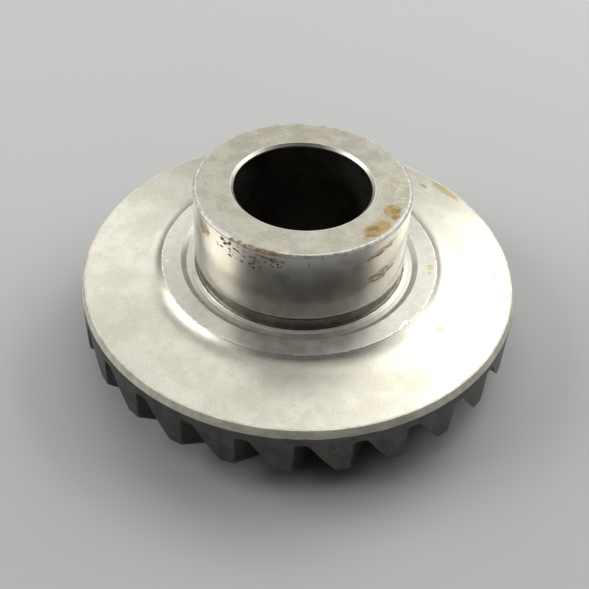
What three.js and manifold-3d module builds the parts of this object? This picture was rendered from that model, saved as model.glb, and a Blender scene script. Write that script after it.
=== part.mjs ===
// Spiral bevel gear of the free-running kind: the larger gear of a right-angle reversing drive.
// A steel forging with its teeth on the underside, a bearing hub on top and clutch lugs round the
// bore on the tooth side. A plain bush pressed into the bore carries the shaft it turns on.
// Millimetres, +Z along the axis from the teeth to the hub, z = 0 on the inner tips of the teeth.

import * as THREE from 'three';
import { mergeVertices } from 'three/addons/utils/BufferGeometryUtils.js';
import Module from 'manifold-3d';

const wasm = await Module();
wasm.setup();

// ---------------------------------------------------------------- driving dimensions

const GEAR_TEETH = 26;
const PINION_TEETH = 13;
const MODULE = 3.175; // at the outer ends of the teeth
const NORMAL_PRESSURE_ANGLE = THREE.MathUtils.degToRad(20);
const SPIRAL_ANGLE = THREE.MathUtils.degToRad(35); // left hand, at the middle of the face width
const CUTTER_RADIUS = 57.15; // radius of the lengthwise curve of a tooth
const FACE_WIDTH = 14;
const TOOTH_THICKNESS = 4.05; // on the pitch cone, at the outer ends
const ROOT_FILLET = 0.7;
const INNER_FACE_MARGIN = 1.6; // how far the inner end faces reach past the roots

const RIM_RADIUS = 41.9; // turned cylinder that ends the teeth on the outside
const RIM_LIP_HEIGHT = 14.4; // top of that cylinder
const RIM_EDGE_RADIUS = 41.2; // outer edge of the conical back
const RIM_EDGE_HEIGHT = 15.75;

const SHOULDER_HEIGHT = 18.25; // flat ring that the bearing seats against
const SHOULDER_INNER_RADIUS = 22.8;
const SHOULDER_OUTER_RADIUS = 26.5;
const SHOULDER_FILLET_RADIUS = 30.2; // where its fillet meets the conical back
const SHOULDER_FILLET_HEIGHT = 16.76;
const SHOULDER_FILLET_BEND_RADIUS = 27.6; // where the fillet's two end tangents cross
const SHOULDER_FILLET_BEND_HEIGHT = 17.0;
const SHOULDER_FILLET_STEPS = 3;

const GROOVE_RADIUS = 21.75; // foot of the shallow groove inside the shoulder
const GROOVE_HEIGHT = 17.76;
const BAND_RADIUS = 20.9; // inner edge of the flat band beside the groove
const BAND_HEIGHT = 17.82;
const CREST_RADIUS = 20.18; // ridge between the band and the undercut
const CREST_HEIGHT = 18.16;
const UNDERCUT_RADIUS = 19.5; // relief for the grinding wheel at the foot of the journal
const UNDERCUT_LOW = 18.0;
const UNDERCUT_HIGH = 20.05;

const JOURNAL_RADIUS = 20; // bearing seat
const JOURNAL_FOOT_HEIGHT = 20.85;
const HUB_HEIGHT = 35.4;
const HUB_CHAMFER = 0.35;

const BORE_RADIUS = 12.7;
const BORE_CHAMFER = 0.5;

const BUSH_INNER_RADIUS = 12.5;
const BUSH_OUTER_RADIUS = 14.5;
const BUSH_LOW = 5.5;
const BUSH_HIGH = 13.5;
const BUSH_CHAMFER = 0.4;
const BUSH_END_GAP = 0.3;
const BUSH_SIDE_GAP = 0.05;
const COUNTERBORE_CHAMFER = 0.5;

const LUG_COUNT = 6;
const LUG_INNER_RADIUS = 15.8;
const LUG_OUTER_RADIUS = 21.6;
const LUG_ANGLE = THREE.MathUtils.degToRad(29);
const LUG_LOW = 0.5;
const LUG_ROOT_OVERLAP = 0.4; // how far a lug's solid reaches into the ring face
const LUG_RING_FACE = 5.1;
const LUG_RING_RADIUS = 22.2;
const RECESS_HEIGHT = 6.6; // annular recess between the lug ring and the teeth
const RECESS_INNER_DRAFT = 0.4;
const RECESS_OUTER_DRAFT = 0.8;

const SEGMENTS = 3 * GEAR_TEETH; // facets round every turned surface
const LUG_SEGMENTS = 3; // facets along each curved side of a lug
const MERGE_TOLERANCE = 1e-4;

// The solid that cuts a tooth space runs past the gear on every side.
const CUTTER_STEPS = 7;
const CUTTER_INNER_OVERRUN = 2.5;
const CUTTER_OUTER_OVERRUN = 4.5;
const CUTTER_TIP_OVERRUN = 3;

// ---------------------------------------------------------------- bevel gear geometry
// A point of a tooth is given by its distance from the apex along the pitch cone, and its height
// above that cone. Both gears' cones share the apex, which lies on the axis below the teeth.

const pitchAngle = Math.atan(GEAR_TEETH / PINION_TEETH);
const outerDistance = (MODULE * GEAR_TEETH) / 2 / Math.sin(pitchAngle);
const middleDistance = outerDistance - FACE_WIDTH / 2;
const innerDistance = outerDistance - FACE_WIDTH;

const wholeDepth = 1.888 * MODULE;
const addendum = MODULE * (0.46 + 0.39 * (PINION_TEETH / GEAR_TEETH) ** 2);
const dedendum = wholeDepth - addendum;
const pinionDedendum = wholeDepth - (1.7 * MODULE - addendum);
const addendumSlope = pinionDedendum / outerDistance;

const tipHeight = (distance) => addendum - (outerDistance - distance) * addendumSlope;
const rootHeight = (distance) => (-dedendum * distance) / outerDistance;

const apexHeight = -innerDistance * Math.cos(pitchAngle) + tipHeight(innerDistance) * Math.sin(pitchAngle);

// radius and z of a point at a distance and height on the pitch cone
function onCone(distance, height) {
  return new THREE.Vector2(
    distance * Math.sin(pitchAngle) + height * Math.cos(pitchAngle),
    apexHeight + distance * Math.cos(pitchAngle) - height * Math.sin(pitchAngle),
  );
}

// lengthwise curve: a circle of the cutter's radius on the unrolled pitch cone, whose centre is
// placed so that the tooth has its spiral angle at the middle of the face
const cutterCentre = Math.sqrt(
  middleDistance ** 2 + CUTTER_RADIUS ** 2 - 2 * middleDistance * CUTTER_RADIUS * Math.sin(SPIRAL_ANGLE),
);

function unrolledAngle(distance) {
  const cosine = (distance ** 2 + cutterCentre ** 2 - CUTTER_RADIUS ** 2) / (2 * distance * cutterCentre);
  return Math.acos(cosine);
}

// how far a tooth has turned round the axis at a distance, counted from its outer end
function sweep(distance) {
  return (unrolledAngle(distance) - unrolledAngle(outerDistance)) / Math.sin(pitchAngle);
}

const transverseTangent = Math.tan(NORMAL_PRESSURE_ANGLE) / Math.cos(SPIRAL_ANGLE);
const outerSpace = Math.PI * MODULE - TOOTH_THICKNESS;

// half of the width of a tooth space at a distance and a height above the pitch cone
function halfSpace(distance, height) {
  return (outerSpace / 2) * (distance / outerDistance) + height * transverseTangent;
}

// ---------------------------------------------------------------- helpers

// a closed outline of radius and z, turned round the Z axis
function revolve(outline) {
  const geometry = new THREE.LatheGeometry([...outline, outline[0]], SEGMENTS);
  return geometry.rotateX(Math.PI / 2);
}

function toSolid(geometry) {
  const bare = geometry.clone();
  bare.deleteAttribute('normal');
  bare.deleteAttribute('uv');
  const merged = mergeVertices(bare, MERGE_TOLERANCE);
  return new wasm.Manifold(
    new wasm.Mesh({
      numProp: 3,
      vertProperties: new Float32Array(merged.attributes.position.array),
      triVerts: new Uint32Array(merged.index.array),
    }),
  );
}

function toGeometry(solid) {
  const mesh = solid.getMesh();
  const geometry = new THREE.BufferGeometry();
  geometry.setAttribute('position', new THREE.BufferAttribute(mesh.vertProperties, 3));
  geometry.setIndex(new THREE.BufferAttribute(mesh.triVerts, 1));
  geometry.computeVertexNormals();
  return geometry;
}

function point(radius, z) {
  return new THREE.Vector2(radius, z);
}

// ---------------------------------------------------------------- gear body

// the concave fillet from the conical back up to the outer edge of the shoulder
function shoulderFillet() {
  const curve = new THREE.QuadraticBezierCurve(
    point(SHOULDER_FILLET_RADIUS, SHOULDER_FILLET_HEIGHT),
    point(SHOULDER_FILLET_BEND_RADIUS, SHOULDER_FILLET_BEND_HEIGHT),
    point(SHOULDER_OUTER_RADIUS, SHOULDER_HEIGHT),
  );
  return curve.getPoints(SHOULDER_FILLET_STEPS);
}

// the turned shape before its teeth are cut: radius and z of the corners of half of its section,
// from the counterbore out under the teeth, up over the back and the hub, and down the bore
function blankOutline() {
  const innerTip = onCone(innerDistance, tipHeight(innerDistance));
  const innerFaceTop = onCone(innerDistance, rootHeight(innerDistance) - INNER_FACE_MARGIN);
  const tipRun = Math.tan(pitchAngle + Math.atan(addendumSlope));
  const counterboreRadius = BUSH_OUTER_RADIUS + BUSH_SIDE_GAP;
  return [
    point(counterboreRadius + COUNTERBORE_CHAMFER, LUG_RING_FACE),
    point(LUG_RING_RADIUS, LUG_RING_FACE),
    point(LUG_RING_RADIUS + RECESS_INNER_DRAFT, RECESS_HEIGHT),
    point(innerFaceTop.x - RECESS_OUTER_DRAFT, RECESS_HEIGHT),
    innerFaceTop,
    innerTip,
    point(RIM_RADIUS, innerTip.y + (RIM_RADIUS - innerTip.x) / tipRun),
    point(RIM_RADIUS, RIM_LIP_HEIGHT),
    point(RIM_EDGE_RADIUS, RIM_EDGE_HEIGHT),
    ...shoulderFillet(),
    point(SHOULDER_INNER_RADIUS, SHOULDER_HEIGHT),
    point(GROOVE_RADIUS, GROOVE_HEIGHT),
    point(BAND_RADIUS, BAND_HEIGHT),
    point(CREST_RADIUS, CREST_HEIGHT),
    point(UNDERCUT_RADIUS, UNDERCUT_LOW),
    point(UNDERCUT_RADIUS, UNDERCUT_HIGH),
    point(JOURNAL_RADIUS, JOURNAL_FOOT_HEIGHT),
    point(JOURNAL_RADIUS, HUB_HEIGHT - HUB_CHAMFER),
    point(JOURNAL_RADIUS - HUB_CHAMFER, HUB_HEIGHT),
    point(BORE_RADIUS + BORE_CHAMFER, HUB_HEIGHT),
    point(BORE_RADIUS, HUB_HEIGHT - BORE_CHAMFER),
    point(BORE_RADIUS, BUSH_HIGH + BUSH_END_GAP),
    point(counterboreRadius, BUSH_HIGH + BUSH_END_GAP),
    point(counterboreRadius, LUG_RING_FACE + COUNTERBORE_CHAMFER),
  ];
}

// one section of a tooth space: straight flanks, open past the tips, and a root whose corners are
// eased by two chords each
function spaceSection(distance, turn) {
  const root = rootHeight(distance);
  const open = tipHeight(distance) + CUTTER_TIP_OVERRUN;
  const side = [
    [open, halfSpace(distance, open)],
    [root + ROOT_FILLET, halfSpace(distance, root + ROOT_FILLET)],
    [root + ROOT_FILLET / 4, halfSpace(distance, root) - ROOT_FILLET / 6],
    [root, halfSpace(distance, root) - ROOT_FILLET],
  ];
  const outline = [...side, ...side.map(([height, half]) => [height, -half]).reverse()];
  return outline.map(([height, offset]) => {
    const place = onCone(distance, height);
    const angle = turn + sweep(distance) + offset / (distance * Math.sin(pitchAngle));
    return new THREE.Vector3(place.x * Math.cos(angle), place.x * Math.sin(angle), place.y);
  });
}

// the solid that cuts one tooth space, lofted through sections from inside to outside
function toothSpace(turn) {
  const first = innerDistance - CUTTER_INNER_OVERRUN;
  const last = outerDistance + CUTTER_OUTER_OVERRUN;
  const positions = [];
  const index = [];
  let corners = 0;
  for (let step = 0; step <= CUTTER_STEPS; step++) {
    const section = spaceSection(first + ((last - first) * step) / CUTTER_STEPS, turn);
    corners = section.length;
    for (const corner of section) positions.push(corner.x, corner.y, corner.z);
  }
  for (let step = 0; step < CUTTER_STEPS; step++) {
    for (let i = 0; i < corners; i++) {
      const a = step * corners + i;
      const b = step * corners + ((i + 1) % corners);
      index.push(a, b, a + corners, b, b + corners, a + corners);
    }
  }
  const end = CUTTER_STEPS * corners;
  for (let i = 1; i < corners - 1; i++) {
    index.push(0, i + 1, i);
    index.push(end, end + i, end + i + 1);
  }
  const geometry = new THREE.BufferGeometry();
  geometry.setAttribute('position', new THREE.Float32BufferAttribute(positions, 3));
  geometry.setIndex(index);
  return geometry;
}

// one clutch lug: a sector that stands on the ring face and reaches a little into it
function clutchLug(middle) {
  const sector = new THREE.Shape();
  sector.absarc(0, 0, LUG_OUTER_RADIUS, middle - LUG_ANGLE / 2, middle + LUG_ANGLE / 2, false);
  sector.absarc(0, 0, LUG_INNER_RADIUS, middle + LUG_ANGLE / 2, middle - LUG_ANGLE / 2, true);
  sector.closePath();
  const lug = new THREE.ExtrudeGeometry(sector, {
    depth: LUG_RING_FACE + LUG_ROOT_OVERLAP - LUG_LOW,
    bevelEnabled: false,
    curveSegments: LUG_SEGMENTS,
  });
  return lug.translate(0, 0, LUG_LOW);
}

function gearBodyGeometry() {
  let solid = toSolid(revolve(blankOutline()));
  for (let tooth = 0; tooth < GEAR_TEETH; tooth++) {
    const turn = -Math.PI / 2 + ((tooth + 0.5) * 2 * Math.PI) / GEAR_TEETH;
    solid = solid.subtract(toSolid(toothSpace(turn)));
  }
  for (let lug = 0; lug < LUG_COUNT; lug++) {
    solid = solid.add(toSolid(clutchLug(((lug + 0.5) * 2 * Math.PI) / LUG_COUNT)));
  }
  return toGeometry(solid);
}

// ---------------------------------------------------------------- bore bush

function boreBushGeometry() {
  return revolve([
    point(BUSH_INNER_RADIUS + BUSH_CHAMFER, BUSH_LOW),
    point(BUSH_OUTER_RADIUS - BUSH_CHAMFER, BUSH_LOW),
    point(BUSH_OUTER_RADIUS, BUSH_LOW + BUSH_CHAMFER),
    point(BUSH_OUTER_RADIUS, BUSH_HIGH - BUSH_CHAMFER),
    point(BUSH_OUTER_RADIUS - BUSH_CHAMFER, BUSH_HIGH),
    point(BUSH_INNER_RADIUS + BUSH_CHAMFER, BUSH_HIGH),
    point(BUSH_INNER_RADIUS, BUSH_HIGH - BUSH_CHAMFER),
    point(BUSH_INNER_RADIUS, BUSH_LOW + BUSH_CHAMFER),
  ]);
}

// ---------------------------------------------------------------- scene graph

const steel = new THREE.MeshStandardMaterial({ color: 0xb4b0a6, roughness: 0.45, metalness: 0.9 });
const bronze = new THREE.MeshStandardMaterial({ color: 0xa9804a, roughness: 0.4, metalness: 0.9 });

const gearBody = new THREE.Mesh(gearBodyGeometry(), steel);
gearBody.name = 'gear_body';

const boreBush = new THREE.Mesh(boreBushGeometry(), bronze);
boreBush.name = 'bore_bush';

const group = new THREE.Group();
group.add(gearBody, boreBush);

export default group;
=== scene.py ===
"""A spiral bevel gear with a bearing hub, standing on the inner tips of its teeth.

The gear is one grid of quads: columns run round the axis, and rows run along a closed outline from
the clutch lugs, over the teeth, the rim, the back and the hub, and down the bore. Lengths are
millimetres in the row frame until make_mesh turns them into metres. Angles are radians, counted
from +X towards +Y, and heights are above the plane that the tooth tips stand on.
"""

import math

import bpy
import numpy as np
from mathutils import Matrix, Vector


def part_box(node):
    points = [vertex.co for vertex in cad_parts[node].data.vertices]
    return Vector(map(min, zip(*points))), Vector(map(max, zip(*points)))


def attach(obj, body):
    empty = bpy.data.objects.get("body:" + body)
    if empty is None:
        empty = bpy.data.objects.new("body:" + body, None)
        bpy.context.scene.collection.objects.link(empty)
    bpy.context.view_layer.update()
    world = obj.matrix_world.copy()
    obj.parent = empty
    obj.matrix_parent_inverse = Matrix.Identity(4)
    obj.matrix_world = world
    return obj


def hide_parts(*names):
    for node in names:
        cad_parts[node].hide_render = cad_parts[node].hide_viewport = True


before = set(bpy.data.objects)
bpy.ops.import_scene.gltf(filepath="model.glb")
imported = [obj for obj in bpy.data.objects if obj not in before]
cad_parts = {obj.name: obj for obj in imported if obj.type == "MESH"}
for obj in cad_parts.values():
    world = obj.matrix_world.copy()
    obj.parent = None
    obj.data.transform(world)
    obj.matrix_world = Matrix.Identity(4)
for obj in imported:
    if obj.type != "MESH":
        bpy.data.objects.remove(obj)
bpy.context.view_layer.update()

MM = 0.001

# ---------------------------------------------------------------- dimensions

GEAR_TEETH = 26
PINION_TEETH = 13
MODULE = 3.175
SPIRAL_ANGLE = math.radians(35)
PRESSURE_ANGLE = math.radians(20)
CUTTER_RADIUS = 57.15
FACE_WIDTH = 14.0
TOOTH_THICKNESS = 4.05
ROOT_FILLET = 0.75
TIP_ROUND = 0.22
FLANK_CROWN = 0.07
EDGE_BREAK = 0.2

HUB_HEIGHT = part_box("gear_body")[1].z / MM
RIM_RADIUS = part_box("gear_body")[1].x / MM
RIM_LIP_HEIGHT = 14.4
RIM_EDGE = (41.2, 15.75)
SHOULDER_HEIGHT = 18.25
SHOULDER_RADII = (22.8, 26.5)
SHOULDER_FILLET = [(30.2, 16.76), (27.6, 17.0), (26.5, 18.25)]
GROOVE = (21.75, 17.76)
BAND_END = (20.9, 17.82)
CREST = (20.18, 18.16)
UNDERCUT_RADIUS = 19.5
UNDERCUT_HEIGHTS = (18.0, 20.05)
JOURNAL_RADIUS = 20.0
JOURNAL_FOOT = 20.85
HUB_CHAMFER = 0.35
BORE_RADIUS = 12.7
BORE_CHAMFER = 0.5
COUNTERBORE_RADIUS = 14.55
COUNTERBORE_TOP = 13.8
LUG_RING_FACE = 5.1
LUG_RING_RADIUS = 22.2
LUG_LOW = 0.5
RECESS_HEIGHT = 6.6
RECESS_DRAFT = 0.4
RECESS_RADII = (23.3, 24.4)  # the stretch of its floor where the columns turn from lugs to teeth
COUNTERBORE_MIDDLE = 9.0
COUNTERBORE_CHAMFER = 0.4

BUSH_RADII = (12.5, 14.5)
BUSH_HEIGHTS = (5.5, 13.5)
BUSH_CHAMFER = 0.4
BUSH_COLUMNS = 144

# ---------------------------------------------------------------- bevel gear geometry

PITCH_ANGLE = math.atan(GEAR_TEETH / PINION_TEETH)
SIN_PITCH = math.sin(PITCH_ANGLE)
COS_PITCH = math.cos(PITCH_ANGLE)
OUTER = MODULE * GEAR_TEETH / 2 / SIN_PITCH
MIDDLE = OUTER - FACE_WIDTH / 2
INNER = OUTER - FACE_WIDTH
WHOLE_DEPTH = 1.888 * MODULE
ADDENDUM = MODULE * (0.46 + 0.39 * (PINION_TEETH / GEAR_TEETH) ** 2)
DEDENDUM = WHOLE_DEPTH - ADDENDUM
TIP_SLOPE = (WHOLE_DEPTH - (1.7 * MODULE - ADDENDUM)) / OUTER
FLANK_TANGENT = math.tan(PRESSURE_ANGLE) / math.cos(SPIRAL_ANGLE)
FLANK_ANGLE = math.atan(FLANK_TANGENT)
CUTTER_CENTRE = math.sqrt(
    MIDDLE**2 + CUTTER_RADIUS**2 - 2 * MIDDLE * CUTTER_RADIUS * math.sin(SPIRAL_ANGLE)
)


def tip_height(distance):
    return ADDENDUM - (OUTER - distance) * TIP_SLOPE


def root_height(distance):
    return -DEDENDUM * distance / OUTER


APEX_HEIGHT = tip_height(INNER) * SIN_PITCH - INNER * COS_PITCH


def on_cone(distance, height):
    """Radius and z of a point at a distance from the apex and a height above the pitch cone."""
    radius = distance * SIN_PITCH + height * COS_PITCH
    return radius, APEX_HEIGHT + distance * COS_PITCH - height * SIN_PITCH


def unrolled_angle(distance):
    cosine = (distance**2 + CUTTER_CENTRE**2 - CUTTER_RADIUS**2) / (2 * distance * CUTTER_CENTRE)
    return np.arccos(cosine)


def sweep(distance):
    """How far a tooth has turned round the axis, counted from its outer end."""
    return (unrolled_angle(distance) - unrolled_angle(OUTER)) / SIN_PITCH


# ---------------------------------------------------------------- columns of the grid

# one tooth pitch, as places on its outline: 0 is the middle of the root and 5 the middle of the
# tip; 1 to 2 is the root fillet, 2 to 3 the flank and 3 to 4 the rounded tip edge
FILLET = [1.0, 1.33, 1.67, 2.0]
FLANK = [2.2, 2.4, 2.6, 2.8]
TIP_EDGE = [3.0, 3.5, 4.0]
HALF = FILLET + FLANK + TIP_EDGE
PLACES = [0.0, *HALF, 5.0, *reversed(HALF)]
SIDES = [-1.0] * (len(HALF) + 1) + [0.0] + [1.0] * len(HALF)

COLUMNS = GEAR_TEETH * len(PLACES)
STEP = 2 * math.pi / COLUMNS
FIRST = round(math.radians(-100) / STEP)

INNER_TURN = round(float(sweep(INNER)) / STEP)

column = np.arange(COLUMNS)
place = np.tile(PLACES, GEAR_TEETH)
side = np.tile(SIDES, GEAR_TEETH)
tooth_angle = -math.pi / 2 + (column // len(PLACES)) * 2 * math.pi / GEAR_TEETH
even_angle = (FIRST + column) * STEP

# the rows of one lug from its inner edge to its middle and on to its outer edge
LUG_INNER_RADII = [15.3, 15.5, 15.7, 15.76, 15.8, 15.84, 15.92, 16.1]
LUG_MIDDLE_RADII = [17.5, 18.7, 20.0]
LUG_OUTER_RADII = [21.3, 21.48, 21.56, 21.6, 21.64, 21.7, 21.9, 22.05]
LUG_EDGE_RISE = [0.0, 0.0, 0.025, 0.08, 0.5, 0.93, 0.985, 1.0]

# the six clutch lugs: columns crowd together at the sides of each lug
LUG_COUNT = 6
LUG_COLUMNS = COLUMNS // LUG_COUNT
LUG_SIDE_ANGLES = [13.9, 14.2, 14.42, 14.52, 14.62, 14.9, 15.5]
LUG_SIDE_RISE = [1.0, 0.985, 0.93, 0.5, 0.08, 0.025, 0.0]
LUG_SIDE_START = 22

lug_index = (FIRST + INNER_TURN + column) % LUG_COLUMNS
from_middle = np.abs(lug_index - LUG_COLUMNS / 2)
side_index = LUG_SIDE_START + np.arange(len(LUG_SIDE_ANGLES))
lug_turn = np.interp(
    from_middle, [0, *side_index, LUG_COLUMNS / 2], [0, *LUG_SIDE_ANGLES, 180 / LUG_COUNT]
)
lug_rise = np.interp(
    from_middle, [0, *side_index, LUG_COLUMNS / 2], [1, *LUG_SIDE_RISE, 0]
)
lug_middle = even_angle + (INNER_TURN + LUG_COLUMNS / 2 - lug_index) * STEP
lug_angle = lug_middle + np.radians(lug_turn) * np.sign(lug_index - LUG_COLUMNS / 2)


def tooth_outline(distance):
    """Height above the pitch cone, and offset from the tooth's middle, of each column."""
    scale = distance / OUTER

    def half_thickness(height):
        return TOOTH_THICKNESS / 2 * scale - height * FLANK_TANGENT

    fillet_radius = ROOT_FILLET * scale
    fillet_height = root_height(distance) + fillet_radius
    fillet_offset = half_thickness(fillet_height) + fillet_radius / math.cos(FLANK_ANGLE)
    turn = np.clip(place - 1, 0, 1) * (math.pi / 2 - FLANK_ANGLE)
    fillet = (
        fillet_height - fillet_radius * np.cos(turn),
        fillet_offset - fillet_radius * np.sin(turn),
    )

    edge_radius = TIP_ROUND * scale
    edge_height = tip_height(distance) - edge_radius
    edge_offset = half_thickness(edge_height) - edge_radius / math.cos(FLANK_ANGLE)
    turn = FLANK_ANGLE + np.clip(place - 3, 0, 1) * (math.pi / 2 - FLANK_ANGLE)
    edge = (edge_height + edge_radius * np.sin(turn), edge_offset + edge_radius * np.cos(turn))

    share = np.clip(place - 2, 0, 1)
    low = fillet_height - fillet_radius * math.sin(FLANK_ANGLE)
    high = edge_height + edge_radius * math.sin(FLANK_ANGLE)
    flank_height = low + (high - low) * share
    crown = FLANK_CROWN * scale * 4 * share * (1 - share)
    flank = (flank_height, half_thickness(flank_height) + crown)

    root = (root_height(distance), math.pi * MODULE / 2 * scale)
    tip = (tip_height(distance), np.zeros(COLUMNS))
    parts = [place < 0.5, place <= 2.0, place < 3.0, place < 4.5]
    height = np.select(parts, [root[0], fillet[0], flank[0], edge[0]], tip[0])
    offset = np.select(parts, [root[1], fillet[1], flank[1], edge[1]], tip[1])
    return height, offset * side


def tooth_row(distance):
    """One row across all the teeth, each column at its own distance from the apex."""
    height, offset = tooth_outline(distance)
    radius, z = on_cone(distance, height)
    return radius, z, tooth_angle + sweep(distance) + offset / (distance * SIN_PITCH)


def inward(across, up, period, distance):
    """An outline moved square to itself, to the side of growing `up`, by a distance."""
    before_across = np.roll(across, 1)
    after_across = np.roll(across, -1)
    before_across[0] -= period
    after_across[-1] += period
    run = after_across - before_across
    rise = np.roll(up, -1) - np.roll(up, 1)
    length = np.hypot(run, rise)
    return across - distance * rise / length, up + distance * run / length


def between(first, second, share):
    return tuple(a + (b - a) * share for a, b in zip(first, second))


def bend(first, corner, last, steps):
    """Rows along a quadratic curve from first to last, pulled to the corner."""
    rows = []
    for share in np.linspace(0, 1, steps):
        rows.append(between(between(first, corner, share), between(corner, last, share), share))
    return rows


# ---------------------------------------------------------------- rows of the grid


def rounded(corners):
    """An outline through (radius, z, rounding) corners, each rounded by an arc of that radius."""
    outline = []
    for index, (x, y, rounding) in enumerate(corners):
        here = Vector((x, y))
        if not rounding:
            outline.append(here)
            continue
        back = (Vector(corners[index - 1][:2]) - here).normalized()
        ahead = (Vector(corners[index + 1][:2]) - here).normalized()
        half = back.angle(ahead) / 2
        reach = rounding / math.tan(half)
        centre = here + (back + ahead).normalized() * (rounding / math.sin(half))
        start = here + back * reach - centre
        end = here + ahead * reach - centre
        first = math.atan2(start.y, start.x)
        turn = math.remainder(math.atan2(end.y, end.x) - first, 2 * math.pi)
        steps = 2 if rounding < 0.1 else 3 if rounding < 0.3 else 6
        for step in range(steps + 1):
            angle = first + turn * step / steps
            outline.append(centre + Vector((math.cos(angle), math.sin(angle))) * rounding)
    return outline


def ripple(angle, seed, waves):
    """A smooth random wave round the axis, from about -1 to 1, with up to so many waves."""
    random = np.random.default_rng(seed)
    total = np.zeros_like(angle)
    for wave in range(3, waves):
        total += random.normal() * np.cos(wave * angle + random.uniform(0, 2 * math.pi))
    return total / np.abs(total).max()


class Grid:
    """Rows of (radius, z, angle), and the region of the quads that follow each row."""

    def __init__(self):
        self.rows = []
        self.regions = []

    def add(self, region, radius, z, angle):
        full = np.zeros(COLUMNS)
        self.rows.append((full + radius, full + z, full + angle))
        self.regions.append(region)

    def outline(self, region, corners, angle):
        for place_on in rounded(corners):
            self.add(region, place_on.x, place_on.y, angle)


def lug_rows(grid):
    """The ring face round the bore on the tooth side, with its lugs standing down from it."""
    radii = LUG_INNER_RADII + LUG_MIDDLE_RADII + LUG_OUTER_RADII
    rises = LUG_EDGE_RISE + [1.0] * len(LUG_MIDDLE_RADII) + LUG_EDGE_RISE[::-1]
    for radius, row_rise in zip(radii, rises):
        lift = np.minimum(row_rise, lug_rise)
        z = LUG_RING_FACE + (LUG_LOW - LUG_RING_FACE) * lift
        grid.add("lugs", radius, z, lug_angle)


def underside_rows(grid, inner_angle, inner_face):
    """From the lug ring over the recess to the inner end faces of the teeth."""
    lug_side, tooth_side = RECESS_RADII
    grid.outline(
        "turned",
        [
            (LUG_OUTER_RADII[-1], LUG_RING_FACE, 0),
            (LUG_RING_RADIUS, LUG_RING_FACE, 0.1),
            (LUG_RING_RADIUS + RECESS_DRAFT, RECESS_HEIGHT, 0.5),
            (lug_side, RECESS_HEIGHT, 0),
        ],
        lug_angle,
    )
    for share in (0.25, 0.5, 0.75):
        angle = lug_angle + (inner_angle - lug_angle) * share
        grid.add("turned", lug_side + share, RECESS_HEIGHT, angle)
    face_radius, face_height = inner_face
    grid.outline(
        "turned",
        [
            (tooth_side, RECESS_HEIGHT, 0),
            (face_radius - 0.8, RECESS_HEIGHT, 0.7),
            (face_radius, face_height, 0),
        ],
        inner_angle,
    )


def inner_end_rows(grid):
    """The inner end faces of the teeth, and their broken edges."""
    height, offset = tooth_outline(np.full(COLUMNS, INNER))
    arc = tooth_angle * INNER * SIN_PITCH + offset
    moved_arc, moved_depth = inward(arc, -height, 2 * math.pi * INNER * SIN_PITCH, EDGE_BREAK)
    scale = INNER * SIN_PITCH
    turned = sweep(INNER)
    inner_angle = moved_arc / scale + turned
    inner_height = root_height(INNER) - 1.6
    underside_rows(grid, inner_angle, on_cone(INNER, inner_height))
    for share in (0.35, 0.7):
        part_height = inner_height + (-moved_depth - inner_height) * share
        grid.add("teeth", *on_cone(INNER, part_height), inner_angle)
    last = (*on_cone(INNER, -moved_depth), inner_angle)
    corner = tooth_row(np.full(COLUMNS, INNER))
    first = tooth_row(np.full(COLUMNS, INNER + EDGE_BREAK))
    for row in bend(last, corner, first, 5):
        grid.add("teeth", *row)


def outer_distance():
    """Where each column leaves the rim's cylinder, as a distance from the apex."""
    distance = np.full(COLUMNS, OUTER)
    for _ in range(12):
        height, _ = tooth_outline(distance)
        distance = (RIM_RADIUS - height * COS_PITCH) / SIN_PITCH
    return distance


def tooth_rows(grid):
    """The teeth from inside to outside, their outer end faces and the turned rim."""
    start = INNER + EDGE_BREAK
    corner_distance = outer_distance()
    end = corner_distance - EDGE_BREAK
    for share in np.linspace(0, 1, 22)[1:-1]:
        grid.add("teeth", *tooth_row(start + (end - start) * share))
    corner = tooth_row(corner_distance)
    arc, height = inward(
        corner[2] * RIM_RADIUS, corner[1], 2 * math.pi * RIM_RADIUS, EDGE_BREAK
    )
    face = (np.full(COLUMNS, RIM_RADIUS), height, arc / RIM_RADIUS)
    for row in bend(tooth_row(end), corner, face, 5)[:-1]:
        grid.add("teeth", *row)
    ragged = 0.13 * ripple(even_angle, 5, 90) * (ripple(even_angle, 6, 9) > 0.1)
    lip = (np.full(COLUMNS, RIM_RADIUS), RIM_LIP_HEIGHT - 0.15 + ragged, even_angle)
    for share in (0.0, 0.3, 0.6, 0.85):
        grid.add("rim", *between(face, lip, share))
    return lip


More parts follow.
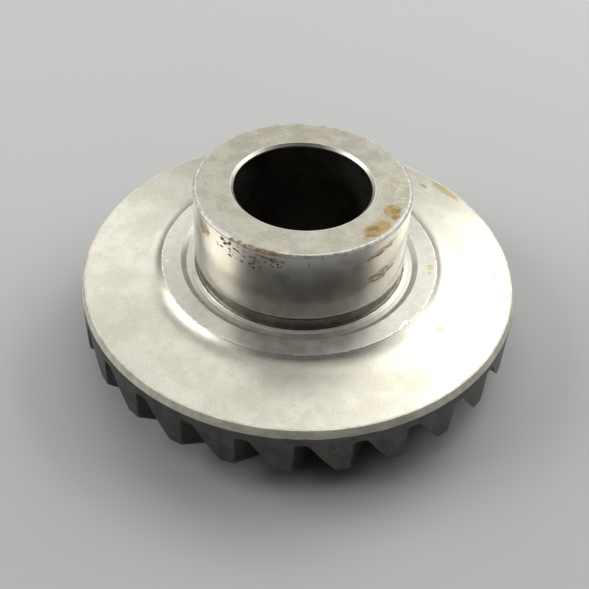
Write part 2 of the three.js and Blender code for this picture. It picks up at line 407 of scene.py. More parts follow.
def upper_rows(grid, lip):
    """The rim's lip, the conical back, the bearing shoulder, the hub and its end face."""
    grid.add("rim", *lip)
    worn = 0.05 * ripple(even_angle, 8, 120)
    grid.add("lip", RIM_RADIUS - 0.04, lip[1] + 0.12, even_angle)
    grid.add("lip", RIM_RADIUS - 0.13 + worn, lip[1] + 0.32, even_angle)
    grid.add("lip", RIM_RADIUS - 0.45 + worn, (lip[1] + 0.32 + RIM_EDGE[1] - 0.3) / 2, even_angle)
    grid.outline(
        "lip",
        [
            (RIM_EDGE[0] + 0.06, RIM_EDGE[1] - 0.1, 0),
            (RIM_EDGE[0], RIM_EDGE[1], 0.08),
            (RIM_EDGE[0] - 0.15, RIM_EDGE[1] + 0.014, 0),
        ],
        even_angle,
    )
    grid.add("back", RIM_EDGE[0] - 0.35, RIM_EDGE[1] + 0.032, even_angle)
    foot, bend_point, top = SHOULDER_FILLET
    for share in (0.3, 0.6, 0.85, 0.96):
        grid.add("back", *between(RIM_EDGE, foot, share), even_angle)
    for row in bend(foot, bend_point, top, 12)[:-1]:
        grid.add("back", *row, even_angle)
    inner, outer = SHOULDER_RADII
    grid.outline(
        "edge",
        [
            (outer + 0.05, SHOULDER_HEIGHT - 0.14, 0),
            (outer, SHOULDER_HEIGHT, 0.12),
            (outer - 0.14, SHOULDER_HEIGHT, 0),
        ],
        even_angle,
    )
    grid.outline(
        "land",
        [
            (outer - 0.2, SHOULDER_HEIGHT, 0),
            (inner, SHOULDER_HEIGHT, 0.07),
            (*GROOVE, 0.12),
            (*BAND_END, 0.45),
            (CREST[0] + 0.1, CREST[1] - 0.08, 0),
        ],
        even_angle,
    )
    grid.outline(
        "edge",
        [
            (CREST[0] + 0.08, CREST[1] - 0.06, 0),
            (*CREST, 0.04),
            (CREST[0] - 0.06, CREST[1] - 0.08, 0),
        ],
        even_angle,
    )
    low, high = UNDERCUT_HEIGHTS
    grid.outline(
        "relief",
        [
            (CREST[0] - 0.1, CREST[1] - 0.12, 0),
            (UNDERCUT_RADIUS + 0.15, low, 0.12),
            (UNDERCUT_RADIUS, low + 0.25, 0.15),
            (UNDERCUT_RADIUS, high, 0.4),
            (JOURNAL_RADIUS - 0.02, JOURNAL_FOOT - 0.04, 0),
        ],
        even_angle,
    )
    grid.outline(
        "journal",
        [
            (JOURNAL_RADIUS, JOURNAL_FOOT, 0),
            (JOURNAL_RADIUS, JOURNAL_FOOT + 0.3, 0),
            (JOURNAL_RADIUS, (JOURNAL_FOOT + HUB_HEIGHT) / 2, 0),
            (JOURNAL_RADIUS, HUB_HEIGHT - HUB_CHAMFER - 0.3, 0),
        ],
        even_angle,
    )
    worn = 0.02 * ripple(even_angle, 9, 150)
    chamfer = rounded(
        [
            (JOURNAL_RADIUS, HUB_HEIGHT - HUB_CHAMFER - 0.2, 0),
            (JOURNAL_RADIUS, HUB_HEIGHT - HUB_CHAMFER, 0.08),
            (JOURNAL_RADIUS - HUB_CHAMFER, HUB_HEIGHT, 0.35),
            (JOURNAL_RADIUS - HUB_CHAMFER - 0.3, HUB_HEIGHT, 0),
        ]
    )
    for corner in chamfer[:-1]:
        wander = worn * (HUB_HEIGHT - corner.y) / HUB_CHAMFER
        grid.add("chamfer", corner.x, corner.y + wander, even_angle)
    end_face = JOURNAL_RADIUS - HUB_CHAMFER - 0.3
    for radius in (end_face, end_face - 0.4, (end_face + BORE_RADIUS) / 2):
        grid.add("end_face", radius, HUB_HEIGHT, even_angle)


def bore_rows(grid):
    """The bore from the hub end down, and the counterbore that holds the bush."""
    grid.outline(
        "bore_edge",
        [
            (BORE_RADIUS + BORE_CHAMFER + 0.12, HUB_HEIGHT, 0),
            (BORE_RADIUS + BORE_CHAMFER, HUB_HEIGHT, 0.06),
            (BORE_RADIUS, HUB_HEIGHT - BORE_CHAMFER, 0.06),
            (BORE_RADIUS, HUB_HEIGHT - BORE_CHAMFER - 0.1, 0),
        ],
        even_angle,
    )
    top = HUB_HEIGHT - BORE_CHAMFER - 0.3
    bottom = COUNTERBORE_TOP + 0.5
    for share in np.linspace(0, 1, 7):
        angle = even_angle + (lug_angle - even_angle) * share
        grid.add("bore", BORE_RADIUS, top + (bottom - top) * share, angle)
    grid.outline(
        "bore",
        [
            (BORE_RADIUS, bottom - 0.2, 0),
            (BORE_RADIUS, COUNTERBORE_TOP, 0.08),
            (COUNTERBORE_RADIUS, COUNTERBORE_TOP, 0.15),
            (COUNTERBORE_RADIUS, COUNTERBORE_MIDDLE, 0),
            (COUNTERBORE_RADIUS, LUG_RING_FACE + COUNTERBORE_CHAMFER, 0.05),
            (COUNTERBORE_RADIUS + COUNTERBORE_CHAMFER, LUG_RING_FACE, 0.05),
            (COUNTERBORE_RADIUS + 0.6, LUG_RING_FACE, 0),
        ],
        lug_angle,
    )


# ---------------------------------------------------------------- meshes


def smooth_normals(points, quads):
    """Vertex normals weighted by the area of the faces round each vertex."""
    corners = points[quads]
    face = np.cross(corners[:, 2] - corners[:, 0], corners[:, 3] - corners[:, 1])
    normals = np.zeros_like(points)
    for corner in range(4):
        np.add.at(normals, quads[:, corner], face)
    return normals / np.maximum(np.linalg.norm(normals, axis=1, keepdims=True), 1e-12)


def make_mesh(name, points, quads, materials, material_index):
    mesh = bpy.data.meshes.new(name)
    mesh.from_pydata((points * MM).tolist(), [], quads.tolist())
    for material in materials:
        mesh.materials.append(material)
    mesh.polygons.foreach_set("material_index", material_index.astype(np.int32))
    mesh.polygons.foreach_set("use_smooth", np.ones(len(quads), bool))
    mesh.update()
    mesh.normals_split_custom_set_from_vertices(smooth_normals(points, quads).tolist())
    piece = bpy.data.objects.new(name, mesh)
    bpy.context.scene.collection.objects.link(piece)
    return piece


def grid_quads(row_count, column_count):
    """Quads between neighbouring rows and columns, closed both ways, and the row of each."""
    row, col = (a.ravel() for a in np.indices((row_count, column_count)))
    next_row = (row + 1) % row_count
    next_col = (col + 1) % column_count
    corners = [(row, col), (row, next_col), (next_row, next_col), (next_row, col)]
    return np.stack([r * column_count + c for r, c in corners], axis=1), row


def gear_body(materials):
    grid = Grid()
    lug_rows(grid)
    inner_end_rows(grid)
    lip = tooth_rows(grid)
    upper_rows(grid, lip)
    bore_rows(grid)
    radius, z, angle = (np.concatenate([row[i] for row in grid.rows]) for i in range(3))
    points = np.stack([radius * np.cos(angle), radius * np.sin(angle), z], axis=1)
    quads, row = grid_quads(len(grid.rows), COLUMNS)
    names = list(materials)
    region = np.array([names.index(name) for name in grid.regions])
    return make_mesh("gear_forging", points, quads, materials.values(), region[row])


# ---------------------------------------------------------------- materials


QUARTER_TURN = 0.25  # machining marks run round the axis, and their sheen is drawn out across them


class Finish:
    """A metal finish built from shader nodes, whose coordinates are millimetres in the row frame."""

    def __init__(self, name, metallic=1.0, anisotropic=0.0):
        self.material = bpy.data.materials.new(name)
        self.material.use_nodes = True
        self.tree = self.material.node_tree
        self.shader = self.tree.nodes["Principled BSDF"]
        self.shader.inputs["Metallic"].default_value = metallic
        if anisotropic:
            self.shader.inputs["Anisotropic"].default_value = anisotropic
            self.shader.inputs["Anisotropic Rotation"].default_value = QUARTER_TURN
            tangent = self.node("ShaderNodeTangent", {"direction_type": "RADIAL", "axis": "Z"})
            self.feed(self.shader.inputs["Tangent"], tangent.outputs[0])
        metres = self.node("ShaderNodeTexCoord").outputs["Object"]
        scaled = self.node("ShaderNodeVectorMath", {"operation": "SCALE"}, {0: metres, "Scale": 1 / MM})
        self.place = scaled.outputs[0]
        split = self.node("ShaderNodeSeparateXYZ", inputs={0: self.place}).outputs
        self.height = split[2]
        self.turn = self.math("ARCTAN2", split[1], split[0])
        flat = self.node("ShaderNodeCombineXYZ", inputs={0: split[0], 1: split[1]}).outputs[0]
        self.radius = self.node("ShaderNodeVectorMath", {"operation": "LENGTH"}, {0: flat}).outputs[1]
        self.spoke = self.node("ShaderNodeVectorMath", {"operation": "NORMALIZE"}, {0: flat}).outputs[0]

    def node(self, kind, settings=None, inputs=None):
        node = self.tree.nodes.new(kind)
        for name, value in (settings or {}).items():
            setattr(node, name, value)
        for name, value in (inputs or {}).items():
            self.feed(node.inputs[name], value)
        return node

    def feed(self, socket, value):
        if isinstance(value, bpy.types.NodeSocket):
            self.tree.links.new(value, socket)
        else:
            socket.default_value = value

    def math(self, operation, *values):
        return self.node("ShaderNodeMath", {"operation": operation}, dict(enumerate(values))).outputs[0]

    def remap(self, value, low, high, bottom=0.0, top=1.0):
        """Value carried smoothly from the range low to high onto the range bottom to top."""
        ends = {"From Min": low, "From Max": high, "To Min": bottom, "To Max": top}
        settings = {"interpolation_type": "SMOOTHSTEP"}
        return self.node("ShaderNodeMapRange", settings, {"Value": value, **ends}).outputs[0]

    def noise(self, scale, detail=3.0, roughness=0.55, distortion=0.0, vector=None):
        """Noise from 0 to 1, with a scale in waves to a millimetre."""
        inputs = {
            "Vector": vector or self.place,
            "Scale": scale,
            "Detail": detail,
            "Roughness": roughness,
            "Distortion": distortion,
        }
        return self.node("ShaderNodeTexNoise", inputs=inputs).outputs[0]

    def lathe_marks(self, scale, wander=1.5):
        """Fine rings round the axis, as a turning tool or a grinding wheel leaves."""
        across = self.math("MULTIPLY_ADD", self.height, -0.6, self.radius)
        rings = self.math("MULTIPLY", across, scale / wander)
        ring = self.node("ShaderNodeCombineXYZ", inputs={2: rings}).outputs[0]
        vector = self.node("ShaderNodeVectorMath", {"operation": "ADD"}, {0: self.spoke, 1: ring})
        return self.noise(wander, 2.0, 0.7, vector=vector.outputs[0])

    def streaks(self, arc_radius, stretch, scale):
        """Noise on a cylinder, drawn out round it as a turning bearing rubs."""
        across = self.math("MULTIPLY", self.turn, arc_radius / stretch)
        surface = self.node("ShaderNodeCombineXYZ", inputs={0: across, 1: self.height})
        return self.noise(scale, 4.0, 0.7, vector=surface.outputs[0])

    def flakes(self, arc_radius, stretch, scale):
        """Scattered ragged flecks on a cylinder, longer round it than along it, as a mask."""
        across = self.math("MULTIPLY", self.turn, arc_radius / stretch)
        surface = self.node("ShaderNodeCombineXYZ", inputs={0: across, 1: self.height})
        ragged = self.node("ShaderNodeTexNoise", inputs={"Scale": 2.5, "Detail": 2.0, "Vector": self.place})
        settings = {"operation": "MULTIPLY_ADD"}
        inputs = {0: ragged.outputs[1], 1: (0.5, 0.5, 0), 2: surface.outputs[0]}
        moved = self.node("ShaderNodeVectorMath", settings, inputs)
        cells = self.node("ShaderNodeTexVoronoi", inputs={"Vector": moved.outputs[0], "Scale": scale})
        chance = self.node("ShaderNodeSeparateColor", inputs={0: cells.outputs["Color"]}).outputs[0]
        near = self.remap(cells.outputs["Distance"], 0.46, 0.34)
        return self.math("MULTIPLY", near, self.math("GREATER_THAN", chance, 0.25))

    def share(self, mask, part):
        """A mask with only part of its strength."""
        return self.math("MULTIPLY", mask, part)

    def mix(self, share, first, second):
        colours = [(*c, 1) if isinstance(c, tuple) else c for c in (first, second)]
        inputs = {0: share, 6: colours[0], 7: colours[1]}
        return self.node("ShaderNodeMix", {"data_type": "RGBA"}, inputs).outputs[2]

    def stains(self, spots, arc_radius, along, ragged=0.9, grain=1.1):
        """Ragged patches, each (degrees, along, half length, half width, tilt in degrees), as one mask."""
        arc = self.math("MULTIPLY", self.turn, arc_radius)
        surface = self.node("ShaderNodeCombineXYZ", inputs={0: arc, 1: along}).outputs[0]
        edge = self.math("MULTIPLY", self.noise(grain, 4.0, 0.7), 2 * ragged)
        mask = 0.0
        for degrees, middle, half_length, half_width, tilt in spots:
            inputs = {
                "Vector": surface,
                "Location": (math.radians(degrees) * arc_radius, middle, 0),
                "Rotation": (0, 0, math.radians(tilt)),
                "Scale": (half_length, half_width, 1),
            }
            patch = self.node("ShaderNodeMapping", {"vector_type": "TEXTURE"}, inputs)
            length = self.node("ShaderNodeVectorMath", {"operation": "LENGTH"}, {0: patch.outputs[0]})
            reach = self.math("ADD", length.outputs[1], edge)
            mask = self.math("MAXIMUM", mask, self.remap(reach, 1.15 + ragged, 0.75 + ragged))
        return mask

    def bump(self, height, depth, strength=1.0, under=None):
        """Relief of a depth in millimetres, laid over another relief."""
        inputs = {"Height": height, "Distance": depth * MM, "Strength": strength}
        if under:
            inputs["Normal"] = under
        return self.node("ShaderNodeBump", inputs=inputs).outputs[0]

    def wear(self, low=0.51, high=0.56):
        """1 on convex edges, where handling has polished the metal."""
        pointiness = self.node("ShaderNodeNewGeometry").outputs["Pointiness"]
        return self.remap(pointiness, low, high)

    def finish(self, colour, roughness, normal=None, metallic=None):
        self.feed(self.shader.inputs["Base Color"], colour)
        self.feed(self.shader.inputs["Roughness"], roughness)
        if normal:
            self.feed(self.shader.inputs["Normal"], normal)
        if metallic:
            self.feed(self.shader.inputs["Metallic"], metallic)
        return self.material


OIL_STAIN = (0.47, 0.41, 0.20)
RUST = (0.29, 0.185, 0.085)
DARK_RUST = (0.09, 0.065, 0.045)


def forged_back():
    """The conical back: blasted, with grey and cream blotches and a few yellow oil stains."""
    finish = Finish("forged_back", metallic=0.98)
    blotches = finish.noise(0.16, 4.0, 0.55)
    patches = finish.noise(0.5, 5.0, 0.75)
    grain = finish.noise(3.4, 2.0, 0.8)
    oil_spots = [
        (42, 40.2, 3.6, 1.2, 0),
        (48, 37.5, 1.2, 0.5, 0),
        (0.4, 38.0, 0.6, 0.4, 0),
        (-31, 31.0, 0.8, 0.4, 20),
    ]
    film_spots = [
        (-58, 34.5, 6.5, 2.6, 25),
        (-68, 38.0, 4.0, 1.6, 0),
        (-122, 36.5, 4.5, 1.4, 10),
        (-150, 33.0, 4.5, 2.2, 60),
    ]
    oil = finish.stains(oil_spots, 37.0, finish.radius)
    film = finish.stains(film_spots, 37.0, finish.radius, 1.2, 0.5)
    colour = finish.mix(finish.remap(blotches, 0.35, 0.65), (0.59, 0.565, 0.48), (0.675, 0.65, 0.565))
    worn = finish.share(finish.remap(patches, 0.52, 0.60), 0.35)
    colour = finish.mix(worn, colour, (0.57, 0.54, 0.43))
    colour = finish.mix(finish.share(film, 0.45), colour, (0.55, 0.525, 0.40))
    dark_grain = finish.share(finish.remap(grain, 0.55, 0.68), 0.4)
    colour = finish.mix(dark_grain, colour, (0.40, 0.375, 0.30))
    pale_grain = finish.share(finish.remap(grain, 0.45, 0.32), 0.4)
    colour = finish.mix(pale_grain, colour, (0.80, 0.78, 0.70))
    colour = finish.mix(finish.share(oil, 0.9), colour, OIL_STAIN)
    roughness = finish.remap(patches, 0.3, 0.7, 0.35, 0.43)
    relief = finish.bump(grain, 0.03, 0.6)
    relief = finish.bump(patches, 0.03, 0.3, relief)
    return finish.finish(colour, roughness, relief)


def rim_lip():
    """The narrow bevel round the rim: the forging's own skin, rough and beige."""
    finish = Finish("rim_lip", metallic=0.5)
    blotches = finish.noise(0.35, 4.0, 0.6, 0.5)
    scale = finish.noise(2.6, 4.0, 0.75)
    colour = finish.mix(finish.remap(blotches, 0.35, 0.65), (0.60, 0.57, 0.47), (0.76, 0.73, 0.62))
    colour = finish.mix(finish.share(finish.remap(scale, 0.56, 0.68), 0.6), colour, (0.30, 0.28, 0.23))
    roughness = finish.remap(scale, 0.3, 0.7, 0.42, 0.58)
    relief = finish.bump(scale, 0.07, 0.8)
    return finish.finish(colour, roughness, relief)


def turned_land():
    """The bearing shoulder: fine turned rings, a satin sheen, a nick and a drop of old wax."""
    finish = Finish("turned_land", metallic=0.8, anisotropic=0.5)
    marks = finish.lathe_marks(5.0)
    haze = finish.noise(0.5, 4.0, 0.6)
    grain = finish.noise(4.5, 2.0, 0.6)
    nick_spots = [
        (-39.3, 25.9, 0.8, 0.3, 10),
        (-42.0, 26.1, 0.5, 0.2, 0),
        (-171, 25.4, 0.4, 0.14, 70),
    ]
    wax_spots = [(-2.3, 25.3, 0.75, 0.65, 0), (-6.0, 25.2, 0.3, 0.2, 30)]
    nicks = finish.stains(nick_spots, 25.5, finish.radius, 0.3)
    wax = finish.stains(wax_spots, 25.5, finish.radius, 0.2)
    colour = finish.mix(finish.remap(haze, 0.35, 0.65), (0.53, 0.51, 0.45), (0.62, 0.60, 0.53))
    colour = finish.mix(finish.share(finish.remap(grain, 0.58, 0.72), 0.4), colour, (0.80, 0.78, 0.72))
    colour = finish.mix(finish.share(finish.remap(marks, 0.45, 0.3), 0.3), colour, (0.36, 0.35, 0.31))
    colour = finish.mix(nicks, colour, (0.9, 0.89, 0.86))
    colour = finish.mix(wax, colour, (0.95, 0.86, 0.36))
    roughness = finish.remap(haze, 0.3, 0.7, 0.39, 0.48)
    relief = finish.bump(marks, 0.02, 0.5)
    relief = finish.bump(grain, 0.012, 0.4, relief)
    relief = finish.bump(wax, 0.08, 0.6, relief)
    metallic = finish.math("MULTIPLY_ADD", wax, -0.7, 0.7)
    return finish.finish(colour, roughness, relief, metallic)


def bright_edge():
    """The sharp turned edges of the shoulder, painted lighter than the land as a painted highlight along
    each edge.
    """
    finish = Finish("bright_edge")
    wear = finish.noise(1.2, 4.0, 0.7)
    # painted highlight: the noise blends the edges from land grey up to near white
    colour = finish.mix(finish.remap(wear, 0.35, 0.6), (0.46, 0.45, 0.40), (0.80, 0.78, 0.73))
    roughness = finish.remap(wear, 0.3, 0.7, 0.42, 0.28)
    return finish.finish(colour, roughness, finish.bump(wear, 0.03, 0.5))


def grinding_relief():
    """The undercut between the shoulder and the ground hub, still as it was turned, its colour painted dark
    as painted shade in the undercut.
    """
    finish = Finish("grinding_relief")
    marks = finish.lathe_marks(7.0)
    haze = finish.noise(0.6, 4.0, 0.6)
    # painted shade in the undercut: the base colour is painted much darker than the turned land beside it
    colour = finish.mix(finish.remap(haze, 0.35, 0.65), (0.25, 0.24, 0.20), (0.36, 0.35, 0.30))
    roughness = finish.remap(marks, 0.3, 0.7, 0.30, 0.42)
    return finish.finish(colour, roughness, finish.bump(marks, 0.03, 0.6))


def ground_hub():
    """The bearing seat: ground bright, with pitting and brown marks that a bearing has rubbed."""
    finish = Finish("ground_hub", anisotropic=0.75)
    marks = finish.lathe_marks(9.0, 2.0)
    haze = finish.noise(0.35, 4.0, 0.6)
    grain = finish.noise(4.5, 2.0, 0.7)
    brown_spots = [
        (-43.5, 32.5, 3.6, 0.75, 8),
        (-42.0, 26.9, 3.4, 1.25, 4),
        (-146.0, 32.9, 1.9, 1.5, 0),
        (-103.0, 33.9, 2.4, 0.5, -4),
    ]
    pit_spots = [
        (-129.0, 33.3, 2.3, 1.8, -10),
        (-121.5, 32.4, 2.4, 2.0, -10),
        (-112.0, 32.2, 3.0, 1.9, -6),
        (-104.0, 32.8, 2.8, 1.2, 0),
        (-84.8, 33.6, 0.5, 0.3, 0),
    ]
    rubbed = finish.remap(finish.streaks(JOURNAL_RADIUS, 8.0, 3.2), 0.42, 0.54)
    brown = finish.stains(brown_spots, JOURNAL_RADIUS, finish.height, 0.9, 1.2)
    brown = finish.math("MULTIPLY", brown, rubbed)
    pits = finish.stains(pit_spots, JOURNAL_RADIUS, finish.height, 0.9, 0.9)
    pits = finish.math("MULTIPLY", pits, finish.flakes(JOURNAL_RADIUS, 1.8, 1.8))
    colour = finish.mix(finish.remap(haze, 0.35, 0.65), (0.63, 0.61, 0.575), (0.68, 0.66, 0.625))
    scratches = finish.share(finish.remap(grain, 0.6, 0.72), 0.25)
    colour = finish.mix(scratches, colour, (0.45, 0.43, 0.38))
    colour = finish.mix(finish.share(brown, 0.95), colour, RUST)
    colour = finish.mix(finish.share(pits, 0.92), colour, DARK_RUST)
    clean = finish.remap(haze, 0.3, 0.7, 0.15, 0.20)
    roughness = finish.math("MULTIPLY_ADD", finish.math("MAXIMUM", brown, pits), 0.3, clean)
    relief = finish.bump(marks, 0.012, 0.4)
    relief = finish.bump(grain, 0.015, 0.4, relief)
    relief = finish.bump(finish.math("SUBTRACT", 1.0, pits), 0.03, 0.25, relief)
    metallic = finish.math("MULTIPLY_ADD", pits, -0.5, 1.0)
    return finish.finish(colour, roughness, relief, metallic)


def worn_chamfer():
    """The hub's outer chamfer: polished by handling, with rust caught in places."""
    finish = Finish("worn_chamfer", metallic=0.5)
    wobble = finish.noise(1.1, 4.0, 0.7)
    spots = [(-109.0, 35.1, 5.0, 0.5, 0), (-124.0, 35.0, 0.6, 0.4, 0)]
    rust = finish.stains(spots, JOURNAL_RADIUS, finish.height, 0.9, 1.2)
    rust = finish.math("MULTIPLY", rust, finish.remap(wobble, 0.40, 0.52))
    colour = finish.mix(finish.remap(wobble, 0.35, 0.65), (0.46, 0.45, 0.41), (0.74, 0.72, 0.66))
    colour = finish.mix(finish.share(rust, 0.9), colour, (0.34, 0.20, 0.085))
    roughness = finish.math("MULTIPLY_ADD", rust, 0.2, finish.remap(wobble, 0.3, 0.7, 0.38, 0.5))
    return finish.finish(colour, roughness, finish.bump(wobble, 0.08, 0.8))


def hub_end():
    """The hub's end face: matte grey with a beige film, mottling and two golden rust patches."""
    finish = Finish("hub_end", metallic=0.9)
    marks = finish.lathe_marks(6.0)
    mottle = finish.noise(0.3, 5.0, 0.65)
    grain = finish.noise(2.6, 3.0, 0.75)
    rust_spots = [
        (-42.0, 17.7, 2.7, 1.6, 0),
        (-36.5, 17.8, 1.6, 1.5, 0),
        (-20.5, 17.3, 1.7, 1.6, 30),
        (-24.5, 18.3, 1.0, 0.8, 0),
    ]
    film_spots = [
        (7, 16.8, 1.8, 1.1, 0),
        (72, 18.0, 2.4, 1.2, 0),
        (88, 16.4, 4.0, 1.4, 0),
        (115, 17.0, 3.0, 1.2, 0),
        (-70, 16.5, 2.0, 0.8, 10),
        (-47.0, 15.6, 3.0, 2.0, 60),
        (-28.0, 17.3, 3.0, 1.9, 0),
    ]
    cover = finish.remap(finish.noise(0.9, 4.0, 0.6), 0.36, 0.56, 0.6, 1.0)
    rust = finish.math("MULTIPLY", finish.stains(rust_spots, 17.0, finish.radius, 0.9, 0.9), cover)
    film = finish.stains(film_spots, 17.0, finish.radius, 0.9, 0.7)
    handled = finish.stains([(0, 17.0, 8.5, 3.0, 0)], 17.0, finish.radius, 0.9, 0.5)
    spots = finish.noise(1.2, 4.0, 0.65)
    golden = finish.math("MULTIPLY", handled, finish.remap(spots, 0.52, 0.60))
    pale = finish.math("MULTIPLY", handled, finish.remap(spots, 0.45, 0.38))
    colour = finish.mix(finish.remap(mottle, 0.38, 0.62), (0.38, 0.36, 0.295), (0.49, 0.47, 0.395))
    colour = finish.mix(finish.share(finish.remap(grain, 0.54, 0.66), 0.5), colour, (0.29, 0.275, 0.23))
    colour = finish.mix(finish.share(finish.remap(grain, 0.46, 0.34), 0.4), colour, (0.62, 0.60, 0.52))
    colour = finish.mix(finish.share(film, 0.4), colour, (0.37, 0.32, 0.22))
    colour = finish.mix(finish.share(golden, 0.6), colour, (0.43, 0.36, 0.20))
    colour = finish.mix(finish.share(pale, 0.35), colour, (0.66, 0.64, 0.57))
    deep = finish.remap(finish.noise(0.8, 3.0, 0.6), 0.36, 0.6)
    patch = finish.mix(deep, (0.26, 0.165, 0.05), (0.40, 0.28, 0.11))
    colour = finish.mix(finish.share(rust, 0.95), colour, patch)
    clean = finish.remap(mottle, 0.3, 0.7, 0.42, 0.52)
    roughness = finish.math("MULTIPLY_ADD", rust, 0.1, clean)
    relief = finish.bump(marks, 0.015, 0.35)
    relief = finish.bump(grain, 0.03, 0.4, relief)
    return finish.finish(colour, roughness, relief)


def bore_edge():
    """The small bright chamfer at the mouth of the bore."""
    finish = Finish("bore_edge")
    wobble = finish.noise(1.4, 3.0, 0.6)
    colour = finish.mix(wobble, (0.50, 0.48, 0.42), (0.72, 0.70, 0.63))
    roughness = finish.remap(wobble, 0.3, 0.7, 0.34, 0.46)
    return finish.finish(colour, roughness, finish.bump(wobble, 0.02, 0.5))


def bore_wall():
    """The bore: smooth, with faint turned rings, its colour painted near black as painted shade inside the
    bore.
    """
    finish = Finish("bore_wall")
    marks = finish.lathe_marks(4.0)
    film = finish.noise(0.2, 4.0, 0.6)
    # painted shade inside the bore: the base colour is painted near black
    colour = finish.mix(finish.remap(film, 0.35, 0.65), (0.085, 0.082, 0.070), (0.135, 0.13, 0.115))
    roughness = finish.remap(film, 0.3, 0.7, 0.38, 0.5)
    return finish.finish(colour, roughness, finish.bump(marks, 0.012, 0.5))


def cut_teeth():
    """The cut teeth: smooth steel with bright worn edges, its colour painted near black as painted shade
    and a painted dark reflection, so that the teeth stay dark above the pale floor.
    """
    finish = Finish("cut_teeth")
    haze = finish.noise(0.3, 4.0, 0.6)
    grain = finish.noise(4.0, 3.0, 0.7)
    scuffs = finish.remap(finish.noise(0.9, 5.0, 0.75, 0.6), 0.62, 0.70)
    # painted shade and painted dark reflection: the base colour is near black, far darker than cut steel
    colour = finish.mix(finish.remap(haze, 0.35, 0.65), (0.045, 0.045, 0.042), (0.068, 0.067, 0.062))
    colour = finish.mix(finish.share(scuffs, 0.12), colour, (0.24, 0.235, 0.22))
    colour = finish.mix(finish.math("MULTIPLY", finish.wear(), 0.7), colour, (0.45, 0.44, 0.41))
    roughness = finish.remap(grain, 0.3, 0.7, 0.33, 0.46)
    relief = finish.bump(grain, 0.012, 0.4)
    return finish.finish(colour, roughness, relief)


def turned_rim():
    """The outer faces of the teeth: turned to the rim's diameter, a little lighter than the flanks, with
    their colour painted dark as painted shade and a painted dark reflection.
    """
    finish = Finish("turned_rim")
    rings = finish.math("MULTIPLY", finish.height, 2.0)
    ring = finish.node("ShaderNodeCombineXYZ", inputs={2: rings}).outputs[0]
    marks = finish.noise(1.0, 3.0, 0.7, vector=ring)
    haze = finish.noise(0.35, 4.0, 0.6)
    grain = finish.noise(4.0, 3.0, 0.7)
    # painted shade and painted dark reflection: the base colour is painted dark, far darker than turned
    # steel
    colour = finish.mix(finish.remap(haze, 0.35, 0.65), (0.085, 0.084, 0.078), (0.125, 0.123, 0.114))
    colour = finish.mix(finish.share(finish.remap(grain, 0.56, 0.68), 0.35), colour, (0.2, 0.195, 0.18))
    colour = finish.mix(finish.share(finish.wear(), 0.7), colour, (0.45, 0.44, 0.41))
    roughness = finish.remap(grain, 0.3, 0.7, 0.34, 0.46)
    relief = finish.bump(marks, 0.02, 0.4)
    return finish.finish(colour, roughness, finish.bump(grain, 0.015, 0.5, relief))


def turned_recess():
    """The recess and the inner end faces on the tooth side, as the lathe left them."""
    finish = Finish("turned_recess", anisotropic=0.3)
    marks = finish.lathe_marks(3.5)
    haze = finish.noise(0.3, 4.0, 0.6)
    colour = finish.mix(finish.remap(haze, 0.35, 0.65), (0.30, 0.295, 0.28), (0.39, 0.385, 0.365))
    roughness = finish.remap(haze, 0.3, 0.7, 0.34, 0.46)
    return finish.finish(colour, roughness, finish.bump(marks, 0.03, 0.6))


def milled_lugs():
    """The clutch lugs: milled, with rubbed ends that the sliding clutch has polished."""
    finish = Finish("milled_lugs")
    haze = finish.noise(0.4, 4.0, 0.6)
    grain = finish.noise(3.5, 3.0, 0.7)
    rubbed = finish.remap(finish.height, LUG_LOW + 0.5, LUG_LOW, 0.0, 0.7)
    colour = finish.mix(finish.remap(haze, 0.35, 0.65), (0.28, 0.275, 0.26), (0.36, 0.355, 0.335))
    colour = finish.mix(finish.math("MAXIMUM", rubbed, finish.wear()), colour, (0.56, 0.555, 0.53))
    roughness = finish.remap(grain, 0.3, 0.7, 0.32, 0.46)
    return finish.finish(colour, roughness, finish.bump(grain, 0.02, 0.5))


def bronze_bush():
    """The plain bush: cast bronze, bored smooth and darkened by oil."""
    finish = Finish("bush_bronze", anisotropic=0.3)
    marks = finish.lathe_marks(5.0)
    oil = finish.noise(0.35, 4.0, 0.6)
    colour = finish.mix(finish.remap(oil, 0.35, 0.65), (0.32, 0.20, 0.085), (0.46, 0.31, 0.14))
    colour = finish.mix(finish.math("MULTIPLY", finish.wear(), 0.5), colour, (0.62, 0.46, 0.24))
    roughness = finish.remap(oil, 0.3, 0.7, 0.28, 0.42)
    return finish.finish(colour, roughness, finish.bump(marks, 0.015, 0.5))


def pale_floor():
    finish = Finish("pale_floor", metallic=0.0)
    cloud = finish.noise(0.01, 2.0, 0.5)
    colour = finish.mix(cloud, (0.50, 0.50, 0.495), (0.53, 0.53, 0.525))
    return finish.finish(colour, finish.remap(cloud, 0.3, 0.7, 0.7, 0.8))


GEAR_FINISHES = {
    "lugs": milled_lugs(),
    "turned": turned_recess(),
    "teeth": cut_teeth(),
    "rim": turned_rim(),
    "lip": rim_lip(),
    "back": forged_back(),
    "land": turned_land(),
    "edge": bright_edge(),
    "relief": grinding_relief(),
    "journal": ground_hub(),
    "chamfer": worn_chamfer(),
    "end_face": hub_end(),
    "bore_edge": bore_edge(),
    "bore": bore_wall(),
}

# ---------------------------------------------------------------- pieces


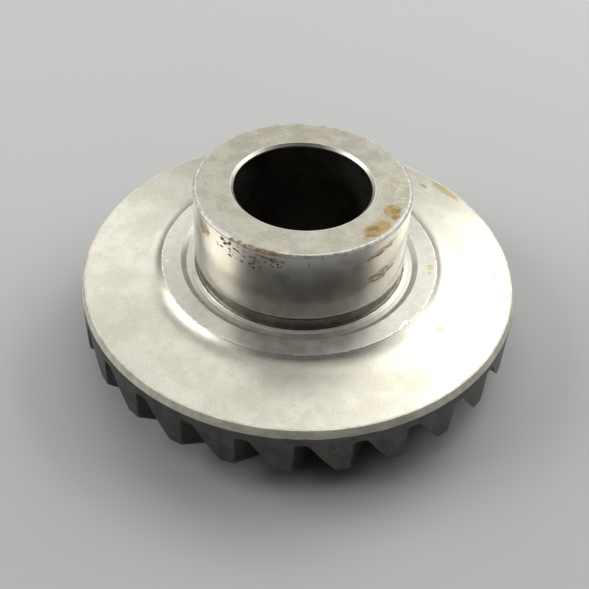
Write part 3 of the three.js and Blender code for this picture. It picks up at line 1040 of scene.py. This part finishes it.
def bore_bush():
    """A plain bush: a ring of bronze with eased edges, pressed into the counterbore."""
    inner, outer = BUSH_RADII
    low, high = BUSH_HEIGHTS
    middle = (low + high) / 2
    outline = rounded(
        [
            (inner, middle, 0),
            (inner, low + BUSH_CHAMFER, 0.1),
            (inner + BUSH_CHAMFER, low, 0.1),
            (outer - BUSH_CHAMFER, low, 0.1),
            (outer, low + BUSH_CHAMFER, 0.1),
            (outer, middle, 0),
            (outer, high - BUSH_CHAMFER, 0.1),
            (outer - BUSH_CHAMFER, high, 0.1),
            (inner + BUSH_CHAMFER, high, 0.1),
            (inner, high - BUSH_CHAMFER, 0.1),
            (inner, (middle + high) / 2, 0),
        ]
    )
    turns = np.arange(BUSH_COLUMNS) * 2 * math.pi / BUSH_COLUMNS
    points = [(c.x * math.cos(t), c.x * math.sin(t), c.y) for c in outline for t in turns]
    quads, _ = grid_quads(len(outline), BUSH_COLUMNS)
    return make_mesh("bush_ring", np.array(points), quads, [bronze_bush()], np.zeros(len(quads)))


gear = gear_body(GEAR_FINISHES)
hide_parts("gear_body")
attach(gear, "root")

bush = bore_bush()
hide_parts("bore_bush")
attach(bush, "root")

# ---------------------------------------------------------------- floor, light and camera


# metres and watts, as Blender's own units are; the camera's place is in millimetres
FLOOR_REACH = 3.0
TARGET = Vector((0, 0, 0.018))
WORLD_GREY = (0.5, 0.5, 0.5, 1)
WORLD_STRENGTH = 0.07

CAMERA_TURN = math.radians(1.36)
CAMERA_ELEVATION = math.radians(43.73)
CAMERA_ROLL = math.radians(2.67)
CAMERA_DISTANCE = 202.1
CAMERA_AIM = Vector((-0.62, 0, 7.87))
CAMERA_ORBIT_HEIGHT = 5.59
SENSOR_WIDTH = 36.0
FOCAL_LENGTH = 61.23
NEAREST = 0.01


def floor():
    mesh = bpy.data.meshes.new("floor")
    reach = FLOOR_REACH
    corners = [(-reach, -reach, 0), (reach, -reach, 0), (reach, reach, 0), (-reach, reach, 0)]
    mesh.from_pydata(corners, [], [(0, 1, 2, 3)])
    mesh.materials.append(pale_floor())
    piece = bpy.data.objects.new("floor", mesh)
    bpy.context.scene.collection.objects.link(piece)


def softbox(name, azimuth, elevation, distance, width, height, power):
    """A soft rectangular light that faces the gear from an azimuth and elevation in degrees."""
    light = bpy.data.lights.new(name, "AREA")
    light.shape = "RECTANGLE"
    light.size = width
    light.size_y = height
    light.energy = power
    lamp = bpy.data.objects.new(name, light)
    turn, lift = math.radians(azimuth), math.radians(elevation)
    away = Vector((math.cos(turn) * math.cos(lift), math.sin(turn) * math.cos(lift), math.sin(lift)))
    lamp.location = TARGET + away * distance
    lamp.rotation_euler = away.to_track_quat("Z", "Y").to_euler()
    bpy.context.scene.collection.objects.link(lamp)


def camera():
    """Looks down at the front of the gear, a little rolled, as a hand-held camera does."""
    across = CAMERA_DISTANCE * math.cos(CAMERA_ELEVATION)
    eye = Vector((0, -across, CAMERA_DISTANCE * math.sin(CAMERA_ELEVATION) + CAMERA_ORBIT_HEIGHT))
    data = bpy.data.cameras.new("camera")
    data.sensor_width = SENSOR_WIDTH
    data.lens = FOCAL_LENGTH
    data.clip_start = NEAREST
    back = (eye - CAMERA_AIM).normalized()
    level = Vector((0, 0, 1)).cross(back).normalized()
    upright = back.cross(level)
    cosine, sine = math.cos(CAMERA_ROLL), math.sin(CAMERA_ROLL)
    right = level * cosine + upright * sine
    up = upright * cosine - level * sine
    view = Matrix((right, up, back)).transposed().to_4x4()
    view.translation = eye * MM
    piece = bpy.data.objects.new("camera", data)
    piece.matrix_world = Matrix.Rotation(CAMERA_TURN, 4, "Z") @ view
    bpy.context.scene.collection.objects.link(piece)
    bpy.context.scene.camera = piece


def studio_world():
    """A dim grey surround, so that the side towards the camera stays dark."""
    world = bpy.data.worlds.new("studio")
    world.use_nodes = True
    background = world.node_tree.nodes["Background"]
    background.inputs["Color"].default_value = WORLD_GREY
    background.inputs["Strength"].default_value = WORLD_STRENGTH
    bpy.context.scene.world = world


floor()
softbox("light_back", 77, 51, 0.65, 0.68, 0.42, 1.45)
softbox("light_back_right", 50, 34, 0.65, 0.36, 0.36, 1.4)
softbox("light_right", 12, 34, 0.65, 0.36, 0.36, 1.05)
softbox("light_back_left", 125, 27, 0.65, 0.28, 0.30, 0.55)
softbox("light_left", 180, 34, 0.65, 0.46, 0.36, 2.2)
softbox("light_top", 90, 86, 0.60, 0.50, 0.50, 0.50)
studio_world()
bpy.context.scene.view_settings.view_transform = "Standard"
camera()
